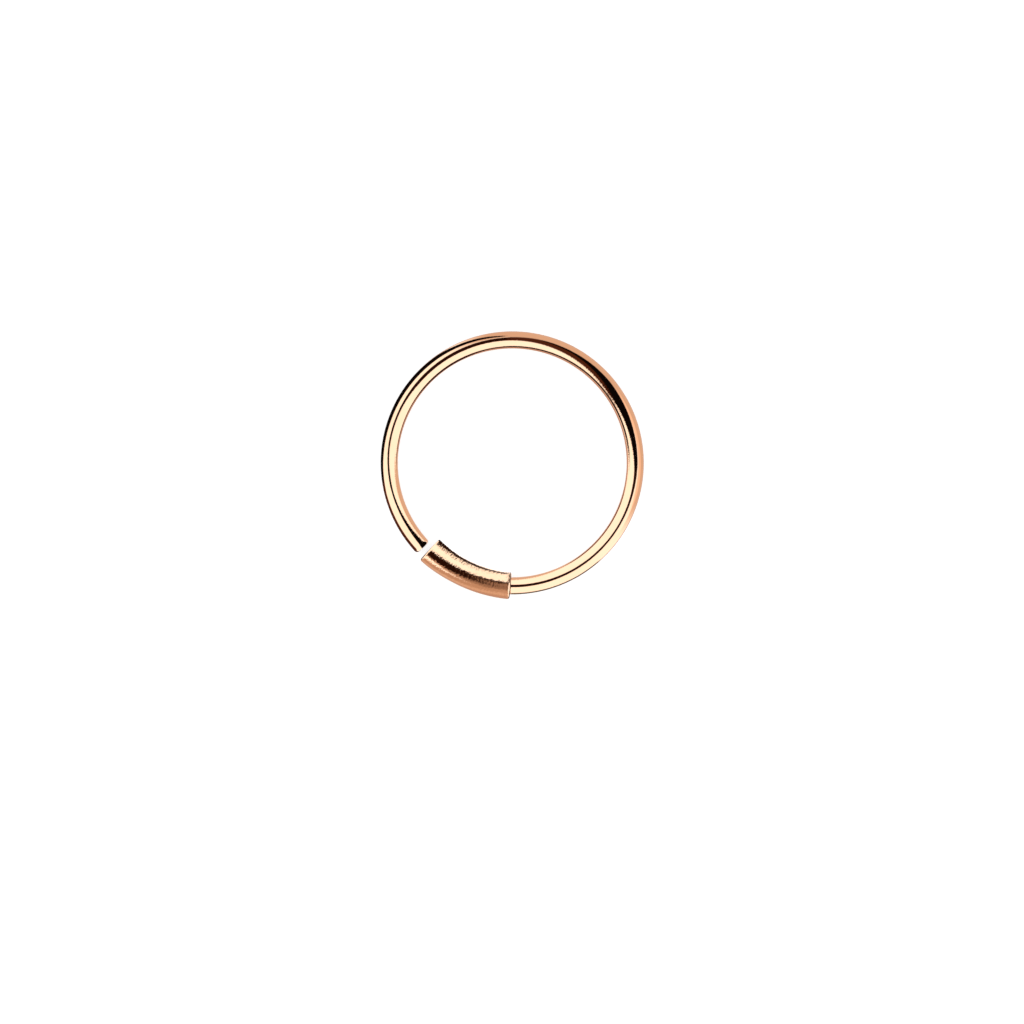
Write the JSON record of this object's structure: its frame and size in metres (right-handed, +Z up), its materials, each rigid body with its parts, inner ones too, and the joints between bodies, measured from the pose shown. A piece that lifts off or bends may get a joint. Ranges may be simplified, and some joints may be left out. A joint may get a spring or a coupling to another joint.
{
  "type": "nose ring",
  "caption": "Thin round wire nose hoop with an open joint, closed by a short curved tube sleeve that takes the wire's free tip; it lies on its side.",
  "frame": {"origin": "on the surface that the ring lies on, under the centre of the hoop; the bounding box's bottom centre is 0.08 mm away, because the sleeve stands out of the hoop on one side", "axes": "+Z up, across the ring, which lies on its side and leans by 1.4 degrees on its thicker sleeve; +Y away from the sleeve's end; seen from above, the sleeve is at the lower left, from 227 to 269 degrees counted from +X"},
  "size_m": [0.0092, 0.0094, 0.001],
  "materials": {
    "polished_wire": "rose gold plate on silver, mirror polished, with fine tumbling marks",
    "tumbled_sleeve": "rose gold plate on silver, bright, with fine marks across the tube from tumbling"
  },
  "bodies": {
    "root": {"hoop_wire": "polished_wire", "closure_sleeve": "tumbled_sleeve"}
  },
  "joints": []
}
